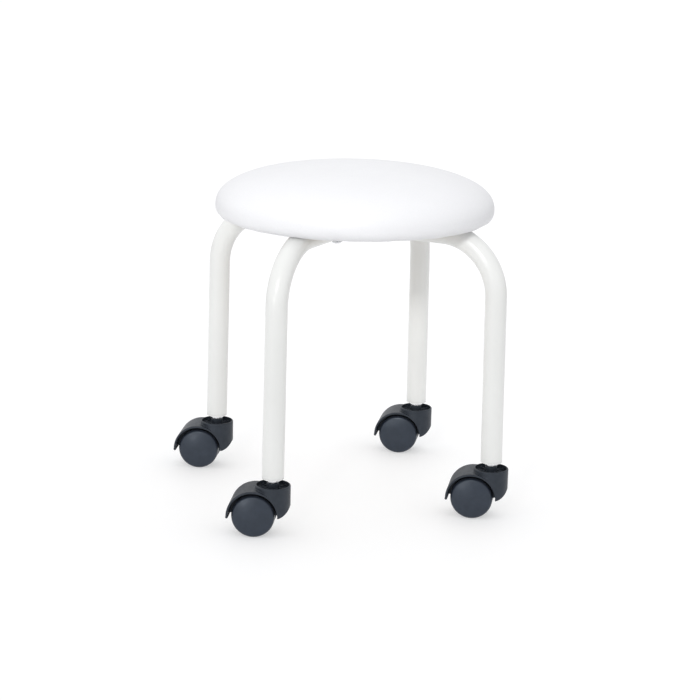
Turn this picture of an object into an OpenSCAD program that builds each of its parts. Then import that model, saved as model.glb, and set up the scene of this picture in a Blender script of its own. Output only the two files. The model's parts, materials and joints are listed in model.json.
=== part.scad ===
// A low salon stool. A round padded seat is screwed to two bent tubes that cross under
// its middle, and each of the four legs stands on a twin-wheel swivel caster.
// Millimetres, +Z up. The origin is on the floor, on the upright axis of the seat.

/* [Seat] */
// Diameter of the padded seat at its widest
seat_d = 332; // [310:2:360]
// Height of the seat's crown above the top of the frame
seat_h = 55; // [48:1:70]
// Power of the crown's curve, where 2 is an ellipse and more is squarer
crown_power = 2.4; // [2:0.1:3]
// Radius of the padded roll round the seat's lower edge
roll_r = 12.5; // [11:0.5:15]
// Thickness of the vinyl cover
cover_t = 1; // [0.8:0.1:1.4]
// Thickness of the plywood board inside
board_t = 12; // [9:0.5:15]
// Number of staples in the cover's hem
staple_count = 28; // [16:2:40]

/* [Frame] */
// Height of the frame, from the ends of the legs to its top
frame_h = 279; // [220:1:420]
// Outer diameter of the tubes
tube_d = 25.4; // [22:0.1:27]
// Wall of the tubes
tube_t = 1.2; // [1:0.1:2]
// Radius of the bends, on the centre line of the tube
bend_r = 70; // [62:1:80]
// How far the legs stand outside the seat's widest line, at the bends
leg_outset = 20.7; // [14:0.1:28]
// Outward lean of the legs, as a share of their height
leg_lean_share = 0.014; // [0:0.001:0.04]
// Width of the weld beads where the tubes cross
weld_w = 2; // [1.5:0.1:3]

/* [Seat screws] */
// Distance of the screws from the middle of the seat
screw_reach = 45; // [38:1:95]
// Diameter of the screws' thread
screw_d = 6; // [5:0.5:8]

/* [Casters] */
// Diameter of the wheels
wheel_d = 50; // [44:1:60]
// Width of one wheel
wheel_w = 15; // [12:0.5:18]
// Distance from the swivel axis to the wheels' axis
trail = 20.7; // [20:0.1:25]
// Diameter of the wheels' axle
axle_d = 6; // [5:0.5:8]
// Radius of the barrel that holds the stem
barrel_r = 20.6; // [18:0.1:21]
// Diameter of the stem's pin and of its thread
stem_d = 8; // [6:0.5:9]
// Length of the stem's pin inside the caster
pin_len = 24; // [18:0.5:26]
// Heading of the front left wheels from the swivel axis, in degrees
front_left_heading = 157; // [0:1:359]
// Heading of the front right wheels from the swivel axis, in degrees
front_right_heading = 153; // [0:1:359]
// Heading of the back right wheels from the swivel axis, in degrees
back_right_heading = 153; // [0:1:359]
// Heading of the back left wheels from the swivel axis, in degrees
back_left_heading = 156; // [0:1:359]

/* [Hidden] */
$fn = 96;

// Clearances
run_fit = 0.05;
press_fit = 0.02;
paint_t = 0.1;
soft_gap = 0.3;
overrun = 1;

// Seat
crown_steps = 22;
roll_steps = 10;
roll_clear = 1.7;
hem_clear = 0.4;
board_lap = 3.6;
board_edge = 1;
staple_w = 10;
staple_wire_w = 1.2;
staple_wire_t = 0.7;
staple_leg = 7;
staple_fit = 0.1;

// Seat screws, T-nuts and saddle washers
screw_short = 4;
screw_head_share = 0.95;
screw_head_h_share = 0.6;
screw_slot_w = 1.1;
screw_slot_l_share = 0.6;
screw_slot_deep_share = 0.55;
screw_hole_fit = 0.3;
washer_r = 8;
washer_t = 2;
nut_flange_r = 9;
nut_flange_t = 1.2;
nut_sunk = 0.3;
nut_wall = 1.2;
nut_barrel_h_share = 0.7;

// Frame
cope_gap = 0.3;
weld_height_share = 0.86;

// Leg plugs
plug_flange_t = 1.2;
plug_len = 28;
plug_base_h = 3;
plug_core_inset = 2.2;
barb_count = 3;
barb_pitch = 7.5;
barb_h = 3.5;

// Caster stem
hex_af = 14;
hex_h = 3.7;
hex_face_t = 0.5;
hex_face_in = 0.4;
thrust_gap = 0.2;
thread_len = 22;
pin_end_gap = 0.5;
pin_chamfer = 0.8;
groove_up = 4;
groove_deep = 0.6;
ring_h = 1.1;
ring_w = 1;
ring_gap = 0.15;
ring_open_angle = 60;

// Caster hood
hood_gap = 3.5;
hood_t = 2.3;
hood_side = 0.5;
hood_edge_r = 1.6;
edge_steps = 5;
lip_more = 0.5;
rim_rise = 3.6;
rim_edge = 1;
boss_rise = 3;
boss_r_share = 0.34;
cup_wall = 1.9;
cup_deep = 6;
cup_rib_count = 8;
cup_rib_t = 1.2;
cup_rib_drop = 3.6;
base_round = 15.5;
base_round_out = 0.5;
base_drop = 1.5;
fin_drop = 1.2;
cup_floor_t = 1.2;
cheek_in = 0.06;
web_t = 13;
web_boss_more = 5;

// Wheels
wheel_gap = 0.5;
wheel_edge = 0.8;
shoulder_r = 4.5;
shoulder_steps = 6;
shoulder_angle = 30;
dome_angle = 16;
dome_steps = 8;
rim_t = 2.7;
face_t = 2.4;
hub_more = 3;
hub_end_t = 2.6;
wheel_rib_count = 6;
wheel_rib_t = 1.4;
wheel_rib_in = 1.5;
axle_end_gap = 0.2;
axle_chamfer = 0.5;

// Colours
VINYL = [0.96, 0.96, 0.97];
FOAM = [0.93, 0.87, 0.66];
PLYWOOD = [0.80, 0.66, 0.45];
PAINT = [0.93, 0.93, 0.91];
STEEL = [0.72, 0.72, 0.73];
PLASTIC = [0.22, 0.23, 0.26];
NYLON = [0.85, 0.85, 0.82];

// Heights from the floor up
wheel_r = wheel_d / 2;
axle_z = wheel_r;
hood_in_r = wheel_r + hood_gap;
hood_r = hood_in_r + hood_t;
rim_z = axle_z + hood_r + rim_rise;
boss_z = rim_z + boss_rise;
hex_face_z = boss_z + thrust_gap;
hex_z = hex_face_z + hex_face_t;
plug_z = hex_z + hex_h;
leg_end_z = plug_z + plug_flange_t;
frame_z = leg_end_z + frame_h;
seat_z = frame_z + paint_t;

// The frame's centre line in the upright plane of one arm
tube_r = tube_d / 2;
bore_r = tube_r - tube_t;
seat_r = seat_d / 2;
leg_reach = seat_r + leg_outset;
tube_z = frame_z - tube_r;
bend_z = tube_z - bend_r;
bend_start = leg_reach - bend_r;
leg_h = bend_z - leg_end_z;
leg_foot = leg_reach + leg_h * leg_lean_share;

// The seat's section, which rests on the bends
bend_out_r = bend_r + tube_r;
roll_x = seat_r - roll_r;
belt_z = bend_z + sqrt(pow(bend_out_r + roll_r + roll_clear, 2) - pow(roll_x - bend_start, 2));
belt_h = belt_z - seat_z;
crown_h = seat_h - belt_h;
roll_in_r = roll_r - cover_t;
foam_r = roll_in_r - soft_gap;
hem_drop = cover_t + hem_clear;
hem_r = bend_start + sqrt(2 * bend_out_r * hem_drop - pow(hem_drop, 2));
hem_end_angle = 180 - asin((belt_h + cover_t) / roll_r);
hem_in_angle = 180 - asin(belt_h / roll_in_r);
foam_end_angle = 180 - asin((belt_h + soft_gap) / foam_r);
hem_join = roll_x + roll_r * cos(hem_end_angle);
board_r = roll_x + roll_in_r * cos(hem_in_angle) + board_lap;
staple_ring = (hem_r + hem_join) / 2;

// Screws
screw_r = screw_d / 2;
screw_hole_r = screw_r + screw_hole_fit;
screw_head_r = screw_d * screw_head_share;
screw_head_h = screw_d * screw_head_h_share;
tube_low_z = frame_z - tube_d;
washer_z = tube_low_z - washer_t;
screw_top_z = seat_z + board_t - screw_short;
nut_r = screw_r + nut_wall;
nut_top_z = seat_z + board_t - nut_sunk;
nut_barrel_h = board_t * nut_barrel_h_share;

// Casters
web_half = web_t / 2;
wheel_in = web_half + wheel_gap;
wheel_out = wheel_in + wheel_w;
hood_half = wheel_out + hood_side;
axle_r = axle_d / 2;
hub_r = axle_r + hub_more;
stem_r = stem_d / 2;
socket_r = stem_r + run_fit;
pin_end_z = hex_face_z - pin_len;
ring_z = pin_end_z + groove_up;
groove_r = stem_r - groove_deep;
ring_in_r = groove_r + run_fit;
ring_out_r = ring_in_r + ring_w;
boss_r = barrel_r * boss_r_share;
cup_r = barrel_r - cup_wall;
cup_z = rim_z - cup_deep;
base_z = axle_z - base_drop;
fin_z = axle_z - fin_drop;
base_x = base_round - barrel_r - base_round_out;
bore_end = wheel_out - hub_end_t;
dome_r = wheel_r - shoulder_r + shoulder_r * sin(shoulder_angle);
dome_h = dome_r * tan(dome_angle / 2);
shoulder_y = wheel_out - dome_h - shoulder_r * cos(shoulder_angle);
cavity_y = wheel_out - dome_h - face_t;

// Corners: their names, the angles of their legs and the headings of their wheels
CORNERS = ["front_left", "front_right", "back_right", "back_left"];
LEG_ANGLES = [225, 315, 45, 135];
HEADINGS = [front_left_heading, front_right_heading, back_right_heading, back_left_heading];
CORNER_PARTS = [
    "leg_plug", "caster_stem", "stem_ring", "caster_hood", "axle", "near_wheel", "far_wheel"
];

// Points of an arc round (x, y), from one angle to another, the first one left out
function arc(x, y, r, from, to, steps) =
    [for (i = [1:steps]) let (a = from + (to - from) * i / steps) [x + r * cos(a), y + r * sin(a)]];

// Points of a quarter of a superellipse, from its top on the axis out to its widest
function crown(r, h) =
    [for (i = [0:crown_steps]) let (a = 90 * i / crown_steps)
        [r * pow(sin(a), 2 / crown_power), belt_z + h * pow(cos(a), 2 / crown_power)]];

function reversed(list) = [for (i = [len(list) - 1:-1:0]) list[i]];

// One skin of the seat: the crown, then the roll round the lower edge
function seat_skin(inset, end_angle) =
    concat(crown(seat_r - inset, crown_h - inset),
           arc(roll_x, belt_z, roll_r - inset, 0, -end_angle, roll_steps));

// The cover is one sheet over the crown and the roll, with its hem flat under the board
module seat_cover() {
    hem = [[hem_r, seat_z - cover_t], [hem_r, seat_z]];
    color(VINYL)
    difference() {
        rotate_extrude()
        polygon(concat(seat_skin(0, hem_end_angle), hem, reversed(seat_skin(cover_t, hem_in_angle))));
        staple_holes();
    }
}

// The foam lies on the board, wraps round its edge and ends under it
module seat_foam() {
    wrap_r = board_r + soft_gap;
    wrap_z = seat_z - soft_gap;
    top_z = seat_z + board_t;
    inside = [[wrap_r, wrap_z], [wrap_r, top_z], [0, top_z]];
    color(FOAM)
    rotate_extrude()
    polygon(concat(seat_skin(cover_t + soft_gap, foam_end_angle), inside));
}

module seat_board() {
    color(PLYWOOD)
    difference() {
        translate([0, 0, seat_z])
        rotate_extrude()
        polygon([
            [0, 0], [board_r - board_edge, 0], [board_r, board_edge],
            [board_r, board_t - board_edge], [board_r - board_edge, board_t], [0, board_t]
        ]);
        at_screws() {
            translate([0, 0, seat_z - overrun])
            cylinder(r = nut_r + run_fit, h = board_t + 2 * overrun);
            translate([0, 0, nut_top_z - nut_flange_t])
            cylinder(r = nut_flange_r + screw_hole_fit, h = nut_flange_t + overrun);
        }
        staple_holes();
    }
}

// A staple's place: children lie along the hem's circle
module at_staples() {
    for (i = [0:staple_count - 1])
        rotate([0, 0, 360 * (i + 1 / 2) / staple_count])
        translate([staple_ring, 0, seat_z - cover_t])
        children();
}

// The two legs of a staple, with a fit all round and a length below the hem
module staple_legs(fit, below) {
    leg_w = staple_wire_t + 2 * fit;
    leg_l = staple_wire_w + 2 * fit;
    for (side = [-1, 1])
        translate([-leg_l / 2, side * (staple_w - staple_wire_t) / 2 - leg_w / 2, -below])
        cube([leg_l, leg_w, below + cover_t + staple_leg + fit]);
}

module staple_holes() {
    at_staples()
    staple_legs(staple_fit, overrun);
}

module cover_staples() {
    color(STEEL)
    at_staples() {
        staple_legs(0, 0);
        translate([-staple_wire_w / 2, -staple_w / 2, -staple_wire_t])
        cube([staple_wire_w, staple_w, staple_wire_t]);
    }
}

// The four screws' places, one on each arm of the frame
module at_screws() {
    for (angle = LEG_ANGLES)
        rotate([0, 0, angle])
        translate([screw_reach, 0, 0])
        children();
}

module tee_nuts() {
    color(STEEL)
    at_screws()
    difference() {
        union() {
            translate([0, 0, nut_top_z - nut_flange_t])
            cylinder(r = nut_flange_r, h = nut_flange_t);
            translate([0, 0, nut_top_z - nut_barrel_h])
            cylinder(r = nut_r, h = nut_barrel_h - nut_flange_t);
        }
        translate([0, 0, nut_top_z - nut_barrel_h - overrun])
        cylinder(r = screw_r + run_fit, h = nut_barrel_h + 2 * overrun);
    }
}

// Pan-head screws that come up through the tubes, with a cross recess in the head
module seat_screws() {
    head_z = washer_z - screw_head_h;
    slot_l = 2 * screw_head_r * screw_slot_l_share;
    slot_deep = screw_head_h * screw_slot_deep_share;
    color(STEEL)
    at_screws()
    difference() {
        union() {
            translate([0, 0, head_z])
            cylinder(r1 = screw_head_r - screw_head_h / 4, r2 = screw_head_r, h = screw_head_h / 2);
            translate([0, 0, head_z + screw_head_h / 2])
            cylinder(r = screw_head_r, h = screw_head_h / 2);
            translate([0, 0, washer_z])
            cylinder(r = screw_r, h = screw_top_z - washer_z);
        }
        for (turn = [0, 90])
            rotate([0, 0, turn])
            translate([-slot_l / 2, -screw_slot_w / 2, head_z - overrun])
            cube([slot_l, screw_slot_w, slot_deep + overrun]);
    }
}

// Saddle washers, flat for the screw's head and hollowed to the tube
module seat_washers() {
    color(STEEL)
    difference() {
        at_screws()
        translate([0, 0, washer_z])
        difference() {
            cylinder(r = washer_r, h = washer_t + tube_r / 2);
            translate([0, 0, -overrun])
            cylinder(r = screw_r + run_fit, h = washer_t + tube_r);
        }
        for (angle = [LEG_ANGLES[0], LEG_ANGLES[1]])
            rotate([0, 0, angle])
            lying(tube_r + paint_t, -bend_start, bend_start);
    }
}

// A rod along the top of an arm, between two distances from the middle
module lying(r, from, to) {
    translate([from, 0, tube_z])
    rotate([0, 90, 0])
    cylinder(r = r, h = to - from);
}

module lying_tube(from, to) {
    difference() {
        lying(tube_r, from, to);
        lying(bore_r, from - overrun, to + overrun);
    }
}

// The bend and the leg of one arm. The leg leans out, with its end level
module bend_and_leg() {
    translate([bend_start, 0, bend_z])
    rotate([90, 0, 0])
    rotate_extrude(angle = 90)
    translate([bend_r, 0])
    difference() {
        circle(r = tube_r);
        circle(r = bore_r);
    }
    translate([leg_reach, 0, bend_z])
    multmatrix([[1, 0, -leg_lean_share, 0], [0, 1, 0, 0], [0, 0, 1, 0]])
    translate([0, 0, -leg_h])
    difference() {
        cylinder(r = tube_r, h = leg_h);
        translate([0, 0, -overrun])
        cylinder(r = bore_r, h = leg_h + 2 * overrun);
    }
}

// Holes for the seat screws, from the underside up through both walls
module tube_holes() {
    at_screws()
    translate([0, 0, tube_low_z - overrun])
    cylinder(r = screw_hole_r, h = tube_d + 2 * overrun);
}

// The tube that runs through, from the front left leg to the back right one
module cross_tube() {
    color(PAINT)
    difference() {
        rotate([0, 0, LEG_ANGLES[0]])
        union() {
            lying_tube(-bend_start, bend_start);
            for (turn = [0, 180])
                rotate([0, 0, turn])
                bend_and_leg();
        }
        tube_holes();
    }
}

// A half tube, whose end is coped to sit on the tube that runs through
module half_tube(angle) {
    color(PAINT)
    difference() {
        rotate([0, 0, angle])
        union() {
            lying_tube(0, bend_start);
            bend_and_leg();
        }
        rotate([0, 0, LEG_ANGLES[0]])
        lying(tube_r + cope_gap, -tube_d, tube_d);
        tube_holes();
    }
}

module front_right_tube() {
    half_tube(LEG_ANGLES[1]);
}

module back_left_tube() {
    half_tube(LEG_ANGLES[3]);
}

// Fillet beads in the four corners of the crossing
module weld_beads() {
    reach = tube_d + weld_w;
    height = tube_d * weld_height_share;
    color(PAINT)
    difference() {
        intersection() {
            rotate([0, 0, LEG_ANGLES[0]])
            lying(tube_r + weld_w, -reach, reach);
            rotate([0, 0, LEG_ANGLES[1]])
            lying(tube_r + weld_w, -reach, reach);
            translate([-reach, -reach, tube_z - height / 2])
            cube([2 * reach, 2 * reach, height]);
        }
        for (angle = [LEG_ANGLES[0], LEG_ANGLES[1]])
            rotate([0, 0, angle])
            lying(tube_r, -reach - overrun, reach + overrun);
    }
}

// Children stand at the foot of a leg, turned as they are told
module at_foot(corner, turn) {
    rotate([0, 0, LEG_ANGLES[corner]])
    translate([leg_foot, 0, 0])
    rotate([0, 0, turn - LEG_ANGLES[corner]])
    children();
}

// A barbed plug in the end of a leg, with a flange under the tube. The plug follows the
// leg, but its flange is level and its thread is upright
module leg_plug() {
    r = bore_r - press_fit;
    core_r = r - plug_core_inset;
    barbs = [for (i = [0:barb_count - 1]) let (z = plug_base_h + barb_pitch * (i + 1))
        each [[core_r, z - barb_h], [r, z - barb_h], [core_r, z]]];
    color(NYLON)
    difference() {
        union() {
            translate([0, 0, leg_end_z])
            rotate([0, -atan(leg_lean_share), 0])
            rotate_extrude()
            polygon(concat([[0, -plug_flange_t / 2], [r, -plug_flange_t / 2], [r, plug_base_h],
                            [core_r, plug_base_h]],
                           barbs, [[core_r, plug_len], [0, plug_len]]));
            translate([0, 0, plug_z])
            cylinder(r = tube_r, h = plug_flange_t - press_fit);
        }
        translate([0, 0, plug_z - overrun])
        cylinder(r = stem_r + run_fit, h = plug_flange_t + plug_len + 2 * overrun);
    }
}

// The stem: its thread in the plug, the hexagon with its washer face, and the pin
module caster_stem() {
    groove_top = ring_z + ring_h + 2 * ring_gap;
    hex_face_r = hex_af / 2 - hex_face_in;
    color(STEEL)
    union() {
        rotate_extrude()
        polygon([
            [0, pin_end_z], [stem_r - pin_chamfer, pin_end_z], [stem_r, pin_end_z + pin_chamfer],
            [stem_r, ring_z], [groove_r, ring_z], [groove_r, groove_top], [stem_r, groove_top],
            [stem_r, hex_face_z], [hex_face_r, hex_face_z], [hex_face_r, hex_z], [0, hex_z]
        ]);
        translate([0, 0, hex_z])
        cylinder(r = hex_af / 2 / cos(30), h = hex_h, $fn = 6);
        translate([0, 0, plug_z])
        cylinder(r = stem_r, h = thread_len);
    }
}

// The open spring ring that keeps the pin in its socket
module stem_ring() {
    color(STEEL)
    translate([0, 0, ring_z + ring_gap])
    rotate_extrude(angle = 360 - ring_open_angle)
    translate([ring_in_r, 0])
    square([ring_w, ring_h]);
}

// The drum that the hood is cut from: it has the hood's width and rounded edges
module hood_drum() {
    side = hood_half - hood_edge_r;
    edge = hood_r - hood_edge_r;
    near = arc(edge, side, hood_edge_r, 0, 90, edge_steps);
    far = arc(edge, -side, hood_edge_r, -90, 0, edge_steps);
    translate([trail, 0, axle_z])
    rotate([-90, 0, 0])
    rotate_extrude()
    polygon(concat([[0, -hood_half], [edge, -hood_half]], far, [[hood_r, side]], near, [[0, hood_half]]));
}

// Plan of the cheeks: from the barrel they widen to the hood's full width
module cheek_plan() {
    reach = norm([trail, hood_half]);
    touch = atan2(hood_half, trail) + acos(barrel_r / reach);
    r = barrel_r - cheek_in;
    end = trail + hood_r + overrun;
    polygon([
        [r * cos(touch), r * sin(touch)], [trail, hood_half], [end, hood_half],
        [end, -hood_half], [trail, -hood_half], [r * cos(touch), -r * sin(touch)]
    ]);
}

// Side profile that rounds the barrel off below and ends the fin, as wide as the hood
module hood_side_profile() {
    wide = trail + hood_r + overrun;
    across = 2 * (hood_half + overrun);
    round_z = base_z + base_round;
    rotate([90, 0, 0])
    translate([0, 0, -across / 2])
    linear_extrude(height = across)
    union() {
        translate([base_x, round_z]) circle(r = base_round);
        translate([-wide, round_z]) square([2 * wide, rim_z - round_z + overrun]);
        translate([base_x, axle_z]) square([wide - base_x, round_z - axle_z + overrun]);
        translate([trail, fin_z]) square([wide - trail, axle_z - fin_z + overrun]);
    }
}

// The web between the wheels, from the barrel to the fin, with the boss for the axle
module hood_web() {
    boss = axle_r + web_boss_more;
    reach = hood_in_r + hood_t / 2;
    rotate([90, 0, 0])
    translate([0, 0, -web_half])
    linear_extrude(height = web_t)
    intersection() {
        translate([trail, axle_z]) circle(r = reach);
        union() {
            translate([trail, axle_z]) circle(r = boss);
            polygon([
                [trail, axle_z - boss + press_fit], [trail + boss - press_fit, axle_z],
                [trail + reach, axle_z], [trail + reach, axle_z + reach],
                [trail - reach, axle_z + reach], [trail - reach, axle_z]
            ]);
        }
    }
}

// The barrel's dished top: a cup with ribs on its floor. The floor rises where the band
// over the wheels passes under it
module barrel_cup() {
    difference() {
        translate([0, 0, cup_z])
        cylinder(r = cup_r, h = rim_z - cup_z + overrun);
        for (i = [0:cup_rib_count - 1])
            rotate([0, 0, 360 * i / cup_rib_count])
            translate([0, -cup_rib_t / 2, cup_z - overrun])
            cube([barrel_r, cup_rib_t, rim_z - cup_rib_drop - cup_z + overrun]);
        across_axle(hood_in_r + cup_floor_t, hood_half);
    }
}

// The boss for the stem, which stands out of the cup's middle up to the hexagon
module stem_boss() {
    foot_z = cup_z - overrun;
    translate([0, 0, foot_z])
    cylinder(r = boss_r, h = boss_z - rim_edge - foot_z);
    translate([0, 0, boss_z - rim_edge])
    cylinder(r1 = boss_r, r2 = boss_r - rim_edge, h = rim_edge);
}

// A rod along the wheels' axis, to both sides of the middle
module across_axle(r, half) {
    translate([trail, 0, axle_z])
    rotate([90, 0, 0])
    cylinder(r = r, h = 2 * half, center = true);
}

// The hood: the curved band over both wheels, the barrel for the stem and the web
module caster_hood() {
    color(PLASTIC)
    difference() {
        union() {
            difference() {
                intersection() {
                    union() {
                        hood_cheeks();
                        barrel();
                    }
                    hood_side_profile();
                }
                across_axle(hood_in_r, hood_half + overrun);
                barrel_cup();
            }
            hood_web();
            fin_lip();
            stem_boss();
        }
        stem_socket();
        across_axle(axle_r + press_fit, web_half + overrun);
    }
}

// The drum, cut to the hood's plan
module hood_cheeks() {
    intersection() {
        hood_drum();
        translate([0, 0, fin_z - overrun])
        linear_extrude(height = rim_z)
        cheek_plan();
    }
}

module barrel() {
    translate([0, 0, base_z - overrun])
    cylinder(r = barrel_r, h = rim_z - base_z + overrun - rim_edge);
    translate([0, 0, rim_z - rim_edge])
    cylinder(r1 = barrel_r, r2 = barrel_r - rim_edge, h = rim_edge);
}

// The bead along the fin's end
module fin_lip() {
    across = 2 * (hood_half - hood_edge_r);
    fin_x = trail + sqrt(pow(hood_in_r + hood_t / 2, 2) - pow(fin_drop, 2));
    translate([fin_x, 0, fin_z])
    rotate([90, 0, 0])
    cylinder(r = hood_t / 2 + lip_more, h = across, center = true);
}

// The blind bore for the pin, with the recess for its spring ring
module stem_socket() {
    translate([0, 0, pin_end_z - pin_end_gap])
    cylinder(r = socket_r, h = boss_z - pin_end_z + pin_end_gap + overrun);
    translate([0, 0, ring_z - ring_gap])
    cylinder(r = ring_out_r + 2 * ring_gap, h = ring_h + 4 * ring_gap);
}

module axle() {
    end = bore_end - axle_end_gap;
    color(STEEL)
    translate([trail, 0, axle_z])
    rotate([90, 0, 0])
    rotate_extrude()
    polygon([
        [0, -end], [axle_r - axle_chamfer, -end], [axle_r, -end + axle_chamfer],
        [axle_r, end - axle_chamfer], [axle_r - axle_chamfer, end], [0, end]
    ]);
}

// A wheel: a domed face and a rim in one shell, open towards the web, with hub and ribs
module wheel(side) {
    shoulder = arc(wheel_r - shoulder_r, shoulder_y, shoulder_r, 0, 90 - shoulder_angle, shoulder_steps);
    ball = dome_r / sin(dome_angle);
    dome = arc(0, wheel_out - ball, ball, 90 - dome_angle, 90, dome_steps);
    inner_r = wheel_r - rim_t;
    rib_y = wheel_in + wheel_rib_in;
    color(PLASTIC)
    translate([trail, 0, axle_z])
    rotate([-90 * side, 0, 0]) {
        rotate_extrude()
        polygon(concat(
            [[inner_r, wheel_in], [wheel_r - wheel_edge, wheel_in], [wheel_r, wheel_in + wheel_edge],
             [wheel_r, shoulder_y]],
            shoulder, dome,
            [[0, bore_end], [axle_r + run_fit, bore_end], [axle_r + run_fit, wheel_in],
             [hub_r, wheel_in], [hub_r, cavity_y], [inner_r, cavity_y]]
        ));
        for (i = [0:wheel_rib_count - 1])
            rotate([0, 0, 360 * i / wheel_rib_count])
            translate([hub_r - overrun, -wheel_rib_t / 2, rib_y])
            cube([inner_r - hub_r + 2 * overrun, wheel_rib_t, cavity_y - rib_y + overrun]);
    }
}

seat_cover();
seat_foam();
seat_board();
cover_staples();
tee_nuts();
seat_screws();
seat_washers();
cross_tube();
front_right_tube();
back_left_tube();
weld_beads();
for (i = [0:len(CORNERS) - 1]) {
    name = CORNERS[i];
    at_foot(i, LEG_ANGLES[i]) leg_plug();
    at_foot(i, HEADINGS[i]) caster_stem();
    at_foot(i, HEADINGS[i]) stem_ring();
    at_foot(i, HEADINGS[i]) caster_hood();
    at_foot(i, HEADINGS[i]) axle();
    at_foot(i, HEADINGS[i]) wheel(1);
    at_foot(i, HEADINGS[i]) wheel(-1);
}
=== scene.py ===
"""The looks of a low salon stool: a round vinyl seat on a crossed frame of bent tube, with four
twin-wheel casters. Metres, +Z up, the front towards -Y."""
import json
import math
import random

import bmesh
import bpy
from mathutils import Matrix, Vector


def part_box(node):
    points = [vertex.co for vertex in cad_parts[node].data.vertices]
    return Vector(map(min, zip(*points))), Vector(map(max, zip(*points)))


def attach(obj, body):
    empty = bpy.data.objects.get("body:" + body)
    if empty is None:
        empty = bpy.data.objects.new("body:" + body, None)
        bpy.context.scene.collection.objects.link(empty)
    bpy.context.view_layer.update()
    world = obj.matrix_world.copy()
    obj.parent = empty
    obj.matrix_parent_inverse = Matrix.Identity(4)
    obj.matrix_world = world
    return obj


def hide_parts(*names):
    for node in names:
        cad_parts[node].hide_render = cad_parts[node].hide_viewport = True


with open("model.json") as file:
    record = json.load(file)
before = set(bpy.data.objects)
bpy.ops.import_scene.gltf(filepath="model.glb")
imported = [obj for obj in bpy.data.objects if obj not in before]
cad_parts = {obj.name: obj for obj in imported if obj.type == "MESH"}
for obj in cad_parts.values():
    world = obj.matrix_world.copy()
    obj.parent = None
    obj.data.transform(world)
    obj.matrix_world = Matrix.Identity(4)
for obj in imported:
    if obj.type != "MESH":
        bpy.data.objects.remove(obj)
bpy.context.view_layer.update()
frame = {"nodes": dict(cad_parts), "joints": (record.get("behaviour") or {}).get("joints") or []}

CORNERS = ("front_left", "front_right", "back_right", "back_left")
MERGE = 1e-7
SHARP = math.radians(38)

# The camera, fitted to the photograph's perspective
CAMERA_AZIMUTH = math.radians(17.87)
CAMERA_ELEVATION = math.radians(14.34)
CAMERA_ROLL = math.radians(1.36)
CAMERA_DISTANCE = 2.400
CAMERA_LENS = 101.8
CAMERA_AIM_SIDE = -0.0018
CAMERA_AIM_Z = 0.1770

# The stage's sheets as (metres behind the stool, half width), nearest edge first, seen along the
# camera's heading, and their darker and lighter tones
PAPER = ((-0.80, 0.90), (14.0, 3.4))
PAPER_TONES = ((0.59, 0.59, 0.593), (0.61, 0.61, 0.613))
PAPER_GLOW = 0.42
STUDIO_FLOOR = ((-30.0, 30.0), (30.0, 30.0))
STUDIO_FLOOR_TONES = ((0.36, 0.36, 0.365), (0.40, 0.40, 0.405))
STUDIO_FLOOR_Z = -0.004
ROOM_COLOUR = (0.985, 0.99, 1.0, 1)

# The lights as name: (place, aim, width, watts). Their narrow beams keep to a band of height.
LIGHTS = {
    "key": ((-1.50, -2.26, 1.55), (0, 0, 0.65), 0.4, 1.2),
    "low_fill": ((-2.15, -2.07, 0.35), (0, 0, -0.1), 0.7, 0.2),
}
LIGHT_SPREAD = math.radians(24)

# Noise values between which a mottle runs from its first tone to its second
MOTTLE_START = 0.3
MOTTLE_END = 0.7

# Moulded plastic
PLASTIC_TINT = (0.82, 0.90, 1.0, 1)
SCUFF_TONE = (0.16, 0.16, 0.165)
SCUFF_ROUGHNESS = (0.6, 0.6, 0.6)

# Seat cover, whose other sizes come from the frame
CROWN_POWER = 2.4
ROLL_R = 0.0125
COVER_T = 0.001
BELT_RISE = 0.00784
HEM_R = 0.132
BOARD_UNDER = 0.3471

# Staples
STAPLE_COUNT = 28
STAPLE_HALF_W = 0.005
STAPLE_WIRE_R = 0.00042
STAPLE_FLATNESS = 1.35
STAPLE_LEG = 0.0078
STAPLE_BEND_R = 0.0007
STAPLE_BEND_STEPS = 5
STAPLE_TURN = 0.10
STAPLE_STEPS = 10
STAPLE_SEED = 11

# Frame tube
TUBE_R = 0.0127
TUBE_T = 0.0012
BEND_R = 0.070
LEAN_SHARE = 0.014
COPE_GAP = 0.0003
END_CHAMFER = 0.0004
ARM_ANGLES = [math.radians(a) for a in (225, 315, 45, 135)]

# Levels to a turn of a thread
THREAD_TURN_STEPS = 8

# Seat screws
SCREW_REACH = 0.045
SCREW_R = 0.003
SCREW_PITCH = 0.001
SCREW_THREAD_DEEP = 0.0005
SCREW_TIP_R = 0.0016
SCREW_IN_BOARD = 0.008
SCREW_STEPS = 32
SCREW_HEAD_R = 0.0057
SCREW_HEAD_H = 0.0036
SCREW_HEAD_SIDE_H = 0.0012
SCREW_HEAD_EDGE = 0.0002
SCREW_HEAD_ROUND = 0.0018
SCREW_HEAD_ROUND_STEPS = 8
SCREW_HEAD_LAP = 0.0003
SCREW_HEAD_STEPS = 96
SCREW_HEAD_RINGS = 42
SCREW_SEED = 5
RECESS_R = 0.0034
RECESS_HALF_W = 0.0007
RECESS_DEEP = 0.0021
RECESS_END_SLOPE = 0.0005
RECESS_SIDE_SLOPE = 0.0003
RECESS_TAPER = 0.45
WASHER_T = 0.002

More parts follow.
